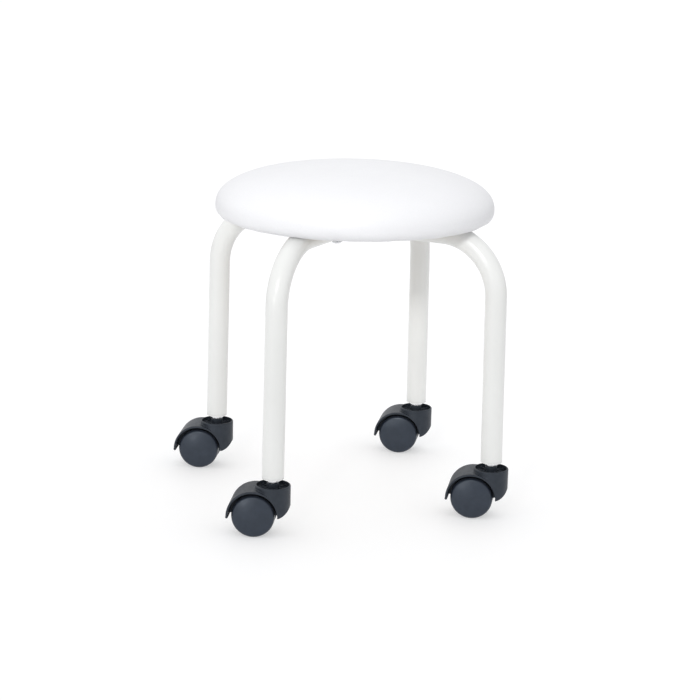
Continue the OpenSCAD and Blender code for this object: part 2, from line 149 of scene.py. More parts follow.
# Caster stem
STEM_R = 0.004
STEM_PITCH = 0.00125
STEM_THREAD_DEEP = 0.00055
STEM_THREAD_LEN = 0.022
STEM_THREAD_STEPS = 40
STEM_LEAD = 0.001
STEM_LEAD_SHARE = 0.2
PIN_STEPS = 64
PIN_CHAMFER = 0.0008
GROOVE_UP = 0.004
GROOVE_H = 0.0014
GROOVE_DEEP = 0.0006
HEX_STEPS = 144
HEX_AF = 0.014
HEX_H = 0.0037
HEX_END_R = 0.00695
HEX_CHAMFER_H = 0.0009
HEX_CHAMFER_SLOPE = 1.7
HEX_CHAMFER_STEPS = 5
HEX_FACE_R = 0.0066
HEX_FACE_T = 0.0005
HEX_FACE_EDGE = 0.0002
PLUG_FLANGE_T = 0.0012

# Caster wheels
WHEEL_R = 0.025
WHEEL_IN = 0.007
WHEEL_OUT = 0.022
WHEEL_SHOULDER_R = 0.0045
WHEEL_SHOULDER_ANGLE = math.radians(30)
WHEEL_DOME = math.radians(16)
WHEEL_RIM_T = 0.0027
WHEEL_FACE_T = 0.0024
WHEEL_HUB_R = 0.006
WHEEL_BORE_R = 0.00305
WHEEL_BORE_END = 0.0194
WHEEL_EDGE = 0.0008
WHEEL_RIM_EDGE = 0.0004
WHEEL_RIM_FILLET = 0.0012
WHEEL_HUB_EDGE = 0.0003
WHEEL_HUB_FILLET = 0.0008
WHEEL_STEPS = 128
WHEEL_EDGE_STEPS = 6
WHEEL_SHOULDER_STEPS = 18
WHEEL_DOME_STEPS = 26
WHEEL_RIM_EDGE_STEPS = 3
WHEEL_RIM_FILLET_STEPS = 6
WHEEL_HUB_FILLET_STEPS = 5
WHEEL_RIBS = 6
WHEEL_RIB_T = 0.0014
WHEEL_RIB_IN = 0.0015
WHEEL_RIB_EDGE = 0.0003
WHEEL_RIB_END_SHARE = 0.75
WHEEL_RIB_EDGE_SHARE = 0.85
WHEEL_RIB_LAP = 0.0006
TREAD_WORN_IN = 0.0012
TREAD_FADE = 0.001


class Look:
    """A procedural material, and short ways to add nodes to it."""

    def __init__(self, name, roughness, metallic=0.0, coat=0.0, coat_roughness=0.1,
                 specular=0.5):
        self.material = bpy.data.materials.new(name)
        self.material.use_nodes = True
        self.tree = self.material.node_tree
        self.shader = self.tree.nodes["Principled BSDF"]
        self.shader.inputs["Roughness"].default_value = roughness
        self.shader.inputs["Metallic"].default_value = metallic
        self.shader.inputs["Coat Weight"].default_value = coat
        self.shader.inputs["Coat Roughness"].default_value = coat_roughness
        self.shader.inputs["Specular IOR Level"].default_value = specular
        self.place = self.node("ShaderNodeTexCoord").outputs["Object"]

    def node(self, kind, **settings):
        node = self.tree.nodes.new(kind)
        for key, value in settings.items():
            setattr(node, key, value)
        return node

    def link(self, output, socket):
        self.tree.links.new(output, socket)

    def stretched(self, stretch):
        mapping = self.node("ShaderNodeMapping")
        mapping.inputs["Scale"].default_value = stretch
        self.link(self.place, mapping.inputs["Vector"])
        return mapping.outputs["Vector"]

    def noise(self, scale, detail=2.0, stretch=None, distortion=0.0):
        node = self.node("ShaderNodeTexNoise")
        node.inputs["Scale"].default_value = scale
        node.inputs["Detail"].default_value = detail
        node.inputs["Distortion"].default_value = distortion
        self.link(self.stretched(stretch) if stretch else self.place, node.inputs["Vector"])
        return node.outputs["Fac"]

    def cells(self, scale):
        node = self.node("ShaderNodeTexVoronoi", feature="DISTANCE_TO_EDGE")
        node.inputs["Scale"].default_value = scale
        self.link(self.place, node.inputs["Vector"])
        return node.outputs["Distance"]

    def ramp(self, value, *stops):
        """Value through a ramp, whose stops are (position, grey or colour)."""
        node = self.node("ShaderNodeValToRGB")
        elements = node.color_ramp.elements
        while len(elements) < len(stops):
            elements.new(0.5)
        for element, (position, colour) in zip(elements, stops):
            element.position = position
            rgb = colour if isinstance(colour, tuple) else (colour, colour, colour)
            element.color = (*rgb, 1)
        self.link(value, node.inputs["Fac"])
        return node.outputs["Color"]

    def mottle(self, scale, detail, first, second):
        """Noise that runs from one grey or colour to another."""
        return self.ramp(self.noise(scale, detail), (MOTTLE_START, first), (MOTTLE_END, second))

    def mix(self, share, first, second, blend="MIX"):
        """first, blended with second by share. Each is a socket, or a constant."""
        node = self.node("ShaderNodeMix", data_type="RGBA", blend_type=blend)
        share_in, first_in, second_in = node.inputs[0], node.inputs[6], node.inputs[7]
        for socket, value in ((share_in, share), (first_in, first), (second_in, second)):
            if isinstance(value, bpy.types.NodeSocket):
                self.link(value, socket)
            else:
                socket.default_value = (*value, 1) if isinstance(value, tuple) else value
        return node.outputs[2]

    def attribute(self, name):
        return self.node("ShaderNodeAttribute", attribute_name=name).outputs["Fac"]

    def colour(self, value):
        self.link(value, self.shader.inputs["Base Color"])

    def roughness(self, value):
        self.link(value, self.shader.inputs["Roughness"])

    def bump(self, *layers):
        """Bumps the surface by layers of (height socket, depth in metres)."""
        normal = None
        for height, depth in layers:
            node = self.node("ShaderNodeBump")
            node.inputs["Distance"].default_value = depth
            self.link(height, node.inputs["Height"])
            if normal:
                self.link(normal, node.inputs["Normal"])
            normal = node.outputs["Normal"]
        self.link(normal, self.shader.inputs["Normal"])


def vinyl():
    """Smooth white upholstery vinyl: a fine grain of shallow cells and a soft gloss."""
    look = Look("vinyl", roughness=0.42, specular=0.45)
    tone = look.mottle(9, 3, (0.757, 0.757, 0.772), (0.780, 0.780, 0.795))
    grain = look.ramp(look.cells(950), (0.0, 0.0), (0.16, 1.0))
    look.colour(look.mix(0.05, tone, grain, "MULTIPLY"))
    look.roughness(look.mottle(60, 4, 0.38, 0.46))
    look.bump((look.noise(140, 3), 0.00012), (grain, 0.00003), (look.noise(4200, 2), 0.00002))
    return look.material


def paint():
    """Glossy warm-white powder coat, with a faint orange peel."""
    look = Look("powder_coat", roughness=0.30, coat=0.25, coat_roughness=0.12)
    tone = look.mottle(14, 3, (0.728, 0.732, 0.716), (0.750, 0.754, 0.738))
    specks = look.ramp(look.noise(1900, 1), (0.70, 0.0), (0.78, 1.0))
    look.colour(look.mix(look.ramp(specks, (0, 0.0), (1, 0.04)), tone, (0.62, 0.62, 0.60)))
    look.roughness(look.mottle(45, 4, 0.28, 0.33))
    look.bump((look.noise(620, 2), 0.00004), (look.noise(90, 1), 0.00005))
    return look.material


def bright_zinc():
    """Bright zinc plating, a little streaky and dulled in patches."""
    look = Look("bright_zinc", roughness=0.24, metallic=1.0)
    look.colour(look.mottle(300, 4, (0.78, 0.79, 0.81), (0.90, 0.90, 0.91)))
    look.roughness(look.mottle(240, 5, 0.18, 0.34))
    look.bump((look.noise(2400, 3, stretch=(1, 1, 0.15)), 0.00002))
    return look.material


def spring_steel():
    """Dark drawn spring wire, oiled."""
    look = Look("spring_steel", roughness=0.35, metallic=1.0)
    look.colour(look.mottle(500, 3, (0.20, 0.20, 0.22), (0.32, 0.32, 0.34)))
    look.roughness(look.mottle(700, 3, 0.28, 0.45))
    return look.material


def nylon():
    """Natural nylon, slightly waxy."""
    look = Look("natural_nylon", roughness=0.45)
    look.colour(look.mottle(120, 3, (0.79, 0.79, 0.78), (0.83, 0.83, 0.82)))
    look.bump((look.noise(1500, 2), 0.00003))
    return look.material


def plywood():
    """Raw plywood: long grain on the faces, and the veneers' lines round the edge."""
    look = Look("plywood", roughness=0.72)
    grain = look.noise(60, 6, stretch=(0.22, 3.2, 1.0), distortion=1.4)
    pores = look.noise(420, 3, stretch=(0.12, 3.0, 1.0))
    tone = look.ramp(grain, (0.28, (0.50, 0.35, 0.20)), (0.5, (0.66, 0.49, 0.30)),
                     (0.75, (0.74, 0.58, 0.38)))
    veneers = look.node("ShaderNodeTexWave", wave_type="BANDS", bands_direction="Z")
    veneers.inputs["Scale"].default_value = 70
    veneers.inputs["Distortion"].default_value = 0.4
    look.link(look.place, veneers.inputs["Vector"])
    lines = look.ramp(veneers.outputs["Fac"], (0.4, 0.0), (0.9, 0.25))
    layered = look.mix(lines, tone, (0.34, 0.22, 0.12))
    holes = look.ramp(pores, (0.55, 0.0), (0.75, 0.5))
    look.colour(look.mix(holes, layered, (0.36, 0.25, 0.15)))
    look.bump((grain, 0.0001), (pores, 0.00008))
    return look.material


def moulded(name, dark, light, shine, worn, specular):
    """Satin charcoal nylon with a fine spark-eroded skin, scuffed by the share worn where the
    worn attribute says. Patches with a roughness under 0.28 would be denoised as dark dots."""
    look = Look(name, roughness=shine, specular=specular)
    look.shader.inputs["Specular Tint"].default_value = PLASTIC_TINT
    tone = look.mottle(130, 4, dark, light)
    scuffs = look.ramp(look.noise(900, 5, stretch=(1, 1, 2.5)), (0.45, 0.0), (0.72, 1.0))
    wear = look.mix(1.0, look.attribute("worn"), scuffs, "MULTIPLY")
    faded = look.mix(1.0, wear, (worn, worn, worn), "MULTIPLY")
    look.colour(look.mix(faded, tone, SCUFF_TONE))
    patches = look.mottle(220, 4, shine - 0.015, shine + 0.05)
    look.roughness(look.mix(wear, patches, SCUFF_ROUGHNESS))
    look.bump((look.noise(2600, 2), 0.00003), (look.noise(160, 2), 0.00006))
    return look.material


def skin(rings, closed=False, capped=False):
    """Vertices and faces over rings of equally many points. closed joins the last ring to the
    first, and capped closes both ends."""
    count = len(rings[0])
    verts = [point for ring in rings for point in ring]
    faces = []
    for i in range(len(rings) if closed else len(rings) - 1):
        a = i * count
        b = (i + 1) % len(rings) * count
        for j in range(count):
            k = (j + 1) % count
            faces.append((a + j, a + k, b + k, b + j))
    if capped:
        last = (len(rings) - 1) * count
        faces.append(tuple(reversed(range(count))))
        faces.append(tuple(range(last, last + count)))
    return verts, faces


def joined(*shapes):
    """Several (vertices, faces) as one."""
    verts, faces = [], []
    for more_verts, more_faces in shapes:
        start = len(verts)
        verts += more_verts
        faces += [tuple(start + i for i in face) for face in more_faces]
    return verts, faces


def placed(shape, place):
    """A shape moved by a matrix."""
    verts, faces = shape
    return [place @ Vector(v) for v in verts], faces


def full_turn(steps):
    """Angles in equal steps round a full turn."""
    return [2 * math.pi * j / steps for j in range(steps)]


def circle(radius, height, steps):
    return [(radius * math.cos(a), radius * math.sin(a), height) for a in full_turn(steps)]


def lathe(profile, steps):
    """A solid turned about Z from a closed outline of (radius, height)."""
    return skin([circle(radius, height, steps) for radius, height in profile], closed=True)


def turned(levels, steps, radius_at):
    """A solid over levels of Z, whose radius at a level and an angle is radius_at(level, angle)."""
    rings = []
    for level in levels:
        ring = []
        for angle in full_turn(steps):
            radius = radius_at(level, angle)
            ring.append((radius * math.cos(angle), radius * math.sin(angle), level))
        rings.append(ring)
    return skin(rings, capped=True)


def spread(start, end, steps):
    """Values in equal steps, both ends included."""
    return [start + (end - start) * i / steps for i in range(steps + 1)]


def arc(centre, radius, start, end, steps):
    """Points of an arc in a plane, both ends included."""
    return [(centre[0] + radius * math.cos(a), centre[1] + radius * math.sin(a))
            for a in spread(start, end, steps)]


def smooth_step(value):
    """0 up to a value of 0, 1 from a value of 1, and a smooth curve between."""
    value = min(max(value, 0.0), 1.0)
    return value * value * (3 - 2 * value)


def dress(obj, material):
    """Gives an object its only material, and smooth shading with its sharp edges kept."""
    obj.data.materials.clear()
    obj.data.materials.append(material)
    obj.data.polygons.foreach_set("use_smooth", [True] * len(obj.data.polygons))
    obj.data.set_sharp_from_angle(angle=SHARP)


def new_object(name, data):
    """An object in the scene over its data."""
    obj = bpy.data.objects.new(name, data)
    bpy.context.scene.collection.objects.link(obj)
    return obj


def new_mesh(name, shape):
    """An object over (vertices, faces), welded and with its faces turned outwards."""
    mesh = bpy.data.meshes.new(name)
    mesh.from_pydata([tuple(v) for v in shape[0]], [], shape[1])
    work = bmesh.new()
    work.from_mesh(mesh)
    bmesh.ops.remove_doubles(work, verts=work.verts, dist=MERGE)
    bmesh.ops.recalc_face_normals(work, faces=work.faces)
    work.to_mesh(mesh)
    work.free()
    return new_object(name, mesh)


def piece(name, shape, material, body, slot, *nodes):
    """A piece of the stool over a shape."""
    settle(new_mesh(name, shape), material, body, slot, *nodes)


def settle(obj, material, body, slot, *nodes):
    """Makes an object a piece that rides on a body and stands for nodes of the frame."""
    dress(obj, material)
    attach(obj, body)
    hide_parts(*nodes)


def apply_modifiers(obj):
    """Turns the object's mesh into what its modifiers make of it."""
    graph = bpy.context.evaluated_depsgraph_get()
    mesh = bpy.data.meshes.new_from_object(obj.evaluated_get(graph))
    obj.modifiers.clear()
    obj.data = mesh


# Places that the frame gives
SEAT_LO, SEAT_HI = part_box("seat_cover")
SEAT_R = SEAT_HI.x
FRAME_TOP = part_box("cross_tube")[1].z
LEG_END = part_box("cross_tube")[0].z
JOINTS = {joint["name"]: joint for joint in frame["joints"]}


def swivel_place(corner):
    """Where a caster's own frame stands: under its leg on the floor, with X towards its wheels."""
    foot = Vector(JOINTS[corner + "_swivel"]["pos_m"])
    wheel = Vector(JOINTS[corner + "_near_roll"]["pos_m"])
    heading = math.atan2(wheel.y - foot.y, wheel.x - foot.x)
    return Matrix.Translation((foot.x, foot.y, 0)) @ Matrix.Rotation(heading, 4, "Z")


def caster_trail():
    """Distance of a caster's wheels from its swivel axis."""
    foot = Vector(JOINTS["front_left_swivel"]["pos_m"])
    wheel = Vector(JOINTS["front_left_near_roll"]["pos_m"])
    return (wheel - foot).xy.length


def camera_heading():
    """The camera's heading over the floor, and the level direction to its right."""
    sin_a, cos_a = math.sin(CAMERA_AZIMUTH), math.cos(CAMERA_AZIMUTH)
    return Vector((sin_a, cos_a, 0)), Vector((cos_a, -sin_a, 0))


def add_camera():
    """The photograph's camera, with its right side raised a little."""
    away, level = camera_heading()
    sin_e, cos_e = math.sin(CAMERA_ELEVATION), math.cos(CAMERA_ELEVATION)
    forward = cos_e * away - Vector((0, 0, sin_e))
    upright = level.cross(forward)
    right = math.cos(CAMERA_ROLL) * level + math.sin(CAMERA_ROLL) * upright
    up = right.cross(forward)
    aim = CAMERA_AIM_SIDE * level + Vector((0, 0, CAMERA_AIM_Z))
    camera = new_object("camera", bpy.data.cameras.new("camera"))
    camera.data.lens = CAMERA_LENS
    turn = Matrix((right, up, -forward)).transposed().to_4x4()
    camera.matrix_world = Matrix.Translation(aim - CAMERA_DISTANCE * forward) @ turn
    bpy.context.scene.camera = camera


def softbox(name, place, aim, width, power):
    """A square area light with a narrow beam, which the camera doesn't see."""
    light = new_object(name, bpy.data.lights.new(name, "AREA"))
    light.data.shape = "RECTANGLE"
    light.data.size = light.data.size_y = width
    light.data.energy = power
    light.data.spread = LIGHT_SPREAD
    light.location = place
    towards = Vector(aim) - Vector(place)
    light.rotation_euler = towards.to_track_quat("-Z", "Y").to_euler()
    light.visible_camera = False


def sheet(name, edges, height, dark, light):
    """A level sheet of the stage, of a mottled tone."""
    away, level = camera_heading()
    (near, near_half), (far, far_half) = edges
    corners = [near * away - near_half * level, near * away + near_half * level,
               far * away + far_half * level, far * away - far_half * level]
    look = Look(name, roughness=0.6, specular=0.2)
    look.colour(look.mottle(1.2, 2, dark, light))
    lift = Vector((0, 0, height))
    surface = new_mesh(name, ([corner + lift for corner in corners], [(0, 1, 2, 3)]))
    dress(surface, look.material)
    return look


def add_studio():
    """A sheet of white paper that glows a little, so that shadows stay faint, on a grey studio
    floor in a white room. Two soft lights stand at the front left: one for the seat and the upper
    legs, and a low one for the casters and the floor round them."""
    scene = bpy.context.scene
    scene.view_settings.view_transform = "Standard"
    world = bpy.data.worlds.new("white_room")
    world.use_nodes = True
    background = world.node_tree.nodes["Background"]
    background.inputs["Color"].default_value = ROOM_COLOUR
    background.inputs["Strength"].default_value = 1.0
    scene.world = world
    for name, settings in LIGHTS.items():
        softbox(name, *settings)
    paper = sheet("paper", PAPER, 0.0, *PAPER_TONES)
    paper.shader.inputs["Emission Color"].default_value = (1.0, 1.0, 1.0, 1)
    paper.shader.inputs["Emission Strength"].default_value = PAPER_GLOW
    sheet("studio_floor", STUDIO_FLOOR, STUDIO_FLOOR_Z, *STUDIO_FLOOR_TONES)


# The seat cover's mesh: a disc of squares inside rings, so that its crown has no pole
DISC_CELLS = 36
DISC_SHARE = 0.62
CROWN_RINGS = 20
ROLL_RINGS = 13
HEM_RINGS = 4

# The hem's pleats: their depth and number, how far and in how many waves they drift from even
# spacing, the share, number and waves of the finer ones, how soon they start, and the share of
# their depth at which their tops are cut off
GATHER_DEEP = 0.0007
GATHER_COUNT = 56
GATHER_DRIFT = 1.3
GATHER_DRIFT_WAVES = 3
GATHER_FINE_SHARE = 0.5
GATHER_FINE_COUNT = 1.5 * GATHER_COUNT
GATHER_FINE_WAVES = 5
GATHER_START = 1.6
GATHER_CAP = 0.35
GATHER_SEED = 7
ARM_CLEAR_W = 0.022

# The cover's cloth simulation, how much of what it does is kept, and the decimals of a metre to
# which the points of one ring agree
PIN_REACH = 0.004
HEM_HOLD = 0.35
SIM_FRAMES = 20
SIM_CAP = 0.004
SIM_KEEP = 0.2
RING_DIGITS = 5
CLOTH = {
    "quality": 6,
    "mass": 0.35,
    "tension_stiffness": 22,
    "compression_stiffness": 22,
    "shear_stiffness": 9,
    "bending_stiffness": 1.6,
    "use_pressure": True,
    "uniform_pressure_force": 4,
    "vertex_group_mass": "staples",
}


def crown_height(radius):
    """Height of the cover's crown over its belt, at a distance from the seat's axis."""
    share = min(abs(radius) / SEAT_R, 1.0)
    return (SEAT_HI.z - belt_z()) * (1 - share ** CROWN_POWER) ** (1 / CROWN_POWER)


def belt_z():
    """Height of the cover's widest line, where the crown meets the roll."""
    return BOARD_UNDER - COVER_T + BELT_RISE


def cover_rings():
    """(radius, height) of the cover's rings, from the disc's edge over the crown and the roll to
    the hem."""
    power = 2 / CROWN_POWER
    start = math.asin(DISC_SHARE ** (1 / power))
    rings = []
    for i in range(1, CROWN_RINGS + 1):
        a = start + (math.pi / 2 - start) * i / CROWN_RINGS
        radius = SEAT_R * math.sin(a) ** power
        rings.append((radius, belt_z() + crown_height(radius) if i < CROWN_RINGS else belt_z()))
    end = math.pi - math.asin(BELT_RISE / ROLL_R)
    rings += arc((SEAT_R - ROLL_R, belt_z()), ROLL_R, 0, -end, ROLL_RINGS)[1:]
    join, under = rings[-1]
    rings += [(radius, under) for radius in spread(join, HEM_R, HEM_RINGS)[1:]]
    return rings


def disc_place(i, j):
    """(radius share, angle) of a grid point on the disc, whose edge has equal steps of angle."""
    u = 2 * i / DISC_CELLS - 1
    v = 2 * j / DISC_CELLS - 1
    if abs(u) >= abs(v):
        return (u, math.pi / 4 * v / u) if u else (0.0, 0.0)
    return v, math.pi / 2 - math.pi / 4 * u / v


def cover_shape():
    """The cover's outer skin, open at the hem's edge."""
    verts, faces = [], []
    radius = DISC_SHARE * SEAT_R
    index = {}
    for i in range(DISC_CELLS + 1):
        for j in range(DISC_CELLS + 1):
            share, angle = disc_place(i, j)
            r = share * radius
            index[i, j] = len(verts)
            verts.append((r * math.cos(angle), r * math.sin(angle), belt_z() + crown_height(r)))
    for i in range(DISC_CELLS):
        for j in range(DISC_CELLS):
            faces.append((index[i, j], index[i + 1, j], index[i + 1, j + 1], index[i, j + 1]))
    cells = range(DISC_CELLS)
    edge = [index[DISC_CELLS, j] for j in cells]
    edge += [index[DISC_CELLS - i, DISC_CELLS] for i in cells]
    edge += [index[0, DISC_CELLS - j] for j in cells]
    edge += [index[i, 0] for i in cells]
    angles = [math.atan2(verts[k][1], verts[k][0]) for k in edge]
    last = edge
    for r, z in cover_rings():
        ring = list(range(len(verts), len(verts) + len(edge)))
        verts += [(r * math.cos(a), r * math.sin(a), z) for a in angles]
        for k in range(len(edge)):
            n = (k + 1) % len(edge)
            faces.append((last[k], ring[k], ring[n], last[n]))
        last = ring
    return verts, faces


def staple_angles():
    """The staples' angles round the seat."""
    return [2 * math.pi * (i + 0.5) / STAPLE_COUNT for i in range(STAPLE_COUNT)]


def arm_distance(x, y):
    """Distance of a point from the nearest arm's centre line, seen from above."""
    best = math.hypot(x, y)
    for angle in ARM_ANGLES:
        if x * math.cos(angle) + y * math.sin(angle) > 0:
            best = min(best, abs(-x * math.sin(angle) + y * math.cos(angle)))
    return best


def inflate_cover(cover, staple_ring):
    """Blows the cover up against its staples. What the cloth does is kept as unevenness round each
    ring, and the rings' own mean stays, so that the seat keeps its profile."""
    rest = [v.co.copy() for v in cover.data.vertices]
    pins = cover.vertex_groups.new(name="staples")
    spots = [Vector((staple_ring * math.cos(a), staple_ring * math.sin(a), SEAT_LO.z))
             for a in staple_angles()]
    for vertex, place in zip(cover.data.vertices, rest):
        flat = Vector((place.x, place.y, SEAT_LO.z))
        near = min((flat - spot).length for spot in spots)
        if place.z < BOARD_UNDER and math.hypot(place.x, place.y) < staple_ring + PIN_REACH:
            held = near < PIN_REACH or place.xy.length < HEM_R + MERGE
            pins.add([vertex.index], 1.0 if held else HEM_HOLD, "REPLACE")
    cloth = cover.modifiers.new("cloth", "CLOTH")
    for key, value in CLOTH.items():
        setattr(cloth.settings, key, value)
    cloth.settings.effector_weights.gravity = 0
    cloth.collision_settings.use_collision = False
    scene = bpy.context.scene
    for number in range(1, SIM_FRAMES + 1):
        scene.frame_set(number)
    graph = bpy.context.evaluated_depsgraph_get()
    blown = [v.co.copy() for v in cover.evaluated_get(graph).data.vertices]
    cover.modifiers.clear()
    scene.frame_set(1)
    keep_unevenness(cover, rest, blown)


def keep_unevenness(cover, rest, blown):
    """Moves each point by what the cloth moved it more or less than its ring's mean."""
    groups = {}
    for i, place in enumerate(rest):
        ring = (round(place.xy.length, RING_DIGITS), round(place.z, RING_DIGITS))
        groups.setdefault(ring, []).append(i)
    for members in groups.values():
        if len(members) < DISC_CELLS:
            continue
        moves = []
        for i in members:
            outwards = rest[i].xy.normalized()
            change = blown[i] - rest[i]
            moves.append((change.xy.dot(outwards), change.z))
        mean = [sum(m[k] for m in moves) / len(moves) for k in (0, 1)]
        for i, move in zip(members, moves):
            outwards = rest[i].xy.normalized()
            side, rise = [SIM_KEEP * min(max(move[k] - mean[k], -SIM_CAP), SIM_CAP)
                          for k in (0, 1)]
            vertex = cover.data.vertices[i]
            vertex.co = rest[i] + Vector((outwards.x * side, outwards.y * side, rise))


def gather_hem(cover):
    """Small pleats in the vinyl where it is drawn in under the board, none of them over an arm."""
    draw = random.Random(GATHER_SEED)
    turns = [draw.uniform(0, 2 * math.pi) for _ in range(3)]
    outer = SEAT_R - ROLL_R
    for vertex in cover.data.vertices:
        place = vertex.co
        radius = place.xy.length
        if place.z > belt_z() or radius > outer:
            continue
        angle = math.atan2(place.y, place.x)
        drift = GATHER_DRIFT * math.sin(GATHER_DRIFT_WAVES * angle + turns[0])
        fine = math.sin(GATHER_FINE_COUNT * angle + turns[1])
        fine *= math.sin(GATHER_FINE_WAVES * angle + turns[2])
        wave = math.sin(GATHER_COUNT * angle + drift) + GATHER_FINE_SHARE * fine
        share = smooth_step((outer - radius) / (outer - HEM_R) * GATHER_START)
        free = smooth_step((arm_distance(place.x, place.y) - TUBE_R) / ARM_CLEAR_W)
        vertex.co.z = place.z + GATHER_DEEP * share * free * min(wave, GATHER_CAP)


def add_seat_cover(material):
    """The vinyl cover over its foam. Returns the radius of the ring of staples."""
    cover = new_mesh("seat_cover_vinyl", cover_shape())
    staple_ring = (HEM_R + SEAT_R - ROLL_R - math.sqrt(ROLL_R ** 2 - BELT_RISE ** 2)) / 2
    inflate_cover(cover, staple_ring)
    smooth = cover.modifiers.new("finer", "SUBSURF")
    smooth.levels = smooth.render_levels = 1
    apply_modifiers(cover)
    gather_hem(cover)
    shell = cover.modifiers.new("thickness", "SOLIDIFY")
    shell.thickness = COVER_T
    shell.offset = -1
    shell.use_even_offset = True
    apply_modifiers(cover)
    settle(cover, material, "root", "vinyl", "seat_cover", "seat_foam")
    return staple_ring


def add_staples(material, ring_r):
    """Wire staples across the hem, each a crown with rounded corners and two legs."""
    wire, bend = STAPLE_WIRE_R, STAPLE_BEND_R
    reach = STAPLE_HALF_W - wire
    top = SEAT_LO.z - wire
    draw = random.Random(STAPLE_SEED)
    path = [(-reach, top + STAPLE_LEG)]
    path += arc((-reach + bend, top + bend), bend, math.pi, 1.5 * math.pi, STAPLE_BEND_STEPS)
    path += arc((reach - bend, top + bend), bend, 1.5 * math.pi, 2 * math.pi, STAPLE_BEND_STEPS)
    path += [(reach, top + STAPLE_LEG)]
    side = Vector((1, 0, 0))
    shapes = []
    for angle in staple_angles():
        turn = Matrix.Rotation(angle, 4, "Z") @ Matrix.Translation((ring_r, 0, 0))
        turn = turn @ Matrix.Rotation(draw.uniform(-STAPLE_TURN, STAPLE_TURN), 4, "Z")
        rings = []
        for k, (y, z) in enumerate(path):
            before, after = path[max(k - 1, 0)], path[min(k + 1, len(path) - 1)]
            along = Vector((0, after[0] - before[0], after[1] - before[1])).normalized()
            rise = along.cross(side)
            rings.append([Vector((0, y, z)) + wire * (STAPLE_FLATNESS * math.cos(a) * side
                                                      + math.sin(a) * rise)
                          for a in full_turn(STAPLE_STEPS)])
        shapes.append(placed(skin(rings, capped=True), turn))
    piece("cover_staple_wires", joined(*shapes), material, "root", "zinc", "cover_staples")


# The frame's tubes
RING_STEPS = 56
BEND_STEPS = 36
LEG_STEPS = 10

# The weld's beads, their ripples and their fading ends
WELD_R = 0.0021
WELD_PROUD = 0.15
WELD_REACH = math.radians(62)
WELD_STEPS = 90
WELD_RING_STEPS = 20
WELD_RIPPLES = 15
WELD_RIPPLE_DEEP = 0.16
WELD_END_SHARE = 0.25
WELD_FADE = 9


def tube_z():
    """Height of the lying tubes' centre line."""
    return FRAME_TOP - TUBE_R


def bend_z():
    """Height at which the legs' bends start."""
    return tube_z() - BEND_R


def leg_reach():
    """Distance of a leg from the seat's axis where its bend starts."""
    foot = Vector(JOINTS["front_left_swivel"]["pos_m"]).xy.length
    return foot - (bend_z() - LEG_END) * LEAN_SHARE


def level_direction(angle):
    """The level direction at an angle from +X."""
    return Vector((math.cos(angle), math.sin(angle), 0))


def arm_stations(angle):
    """(centre, side, other) of one arm's rings, from the leg's end up and in to where the tube
    lies level."""
    out = level_direction(angle)
    side = Vector((-math.sin(angle), math.cos(angle), 0))
    height = bend_z() - LEG_END
    stations = []
    for i in range(LEG_STEPS):
        z = height * (1 - i / LEG_STEPS)
        centre = out * (leg_reach() + z * LEAN_SHARE) + Vector((0, 0, bend_z() - z))
        stations.append((centre, side, out))
    middle = out * (leg_reach() - BEND_R) + Vector((0, 0, bend_z()))
    for i in range(BEND_STEPS + 1):
        a = math.pi / 2 * i / BEND_STEPS
        spoke = math.cos(a) * out + math.sin(a) * Vector((0, 0, 1))
        stations.append((middle + BEND_R * spoke, side, spoke))
    return stations


def ring_at(centre, side, other, radius, steps=RING_STEPS):
    """A circle in the plane of two directions."""
    return [centre + radius * (math.cos(a) * side + math.sin(a) * other)
            for a in full_turn(steps)]


def end_rings(station):
    """The chamfered end of a tube at a leg's foot, from the bore out to the outside."""
    centre, side, other = station
    lift = Vector((0, 0, END_CHAMFER))
    return [
        ring_at(centre, side, other, TUBE_R - TUBE_T),
        ring_at(centre, side, other, TUBE_R - END_CHAMFER),
        ring_at(centre + lift, side, other, TUBE_R),
    ]


def cross_tube_shape():
    """The tube that runs through, from the front left leg over to the back right one."""
    first = arm_stations(ARM_ANGLES[0])
    second = [(c, -s, o) for c, s, o in reversed(arm_stations(ARM_ANGLES[2]))]
    stations = first + second
    outer = [ring_at(c, s, o, TUBE_R) for c, s, o in stations[1:-1]]
    inner = [ring_at(c, s, o, TUBE_R - TUBE_T) for c, s, o in stations[1:-1]]
    start = end_rings(stations[0])
    end = end_rings(stations[-1])
    return skin(start + outer + list(reversed(end)) + list(reversed(inner)), closed=True)


def half_tube_shape(angle):
    """A tube from a leg in to the crossing, its end coped to the tube that runs through."""
    stations = arm_stations(angle)
    outer = [ring_at(c, s, o, TUBE_R) for c, s, o in stations[1:]]
    inner = [ring_at(c, s, o, TUBE_R - TUBE_T) for c, s, o in stations[1:]]
    out = level_direction(angle)

    def coped(ring):
        moved = []
        for point in ring:
            up = point.z - tube_z()
            reach = math.sqrt(max((TUBE_R + COPE_GAP) ** 2 - up * up, 0))
            moved.append(point + out * (reach - point.dot(out)))
        return moved

    outer.append(coped(outer[-1]))
    inner.append(coped(inner[-1]))
    start = end_rings(stations[0])
    return skin(start + outer + list(reversed(inner)), closed=True)


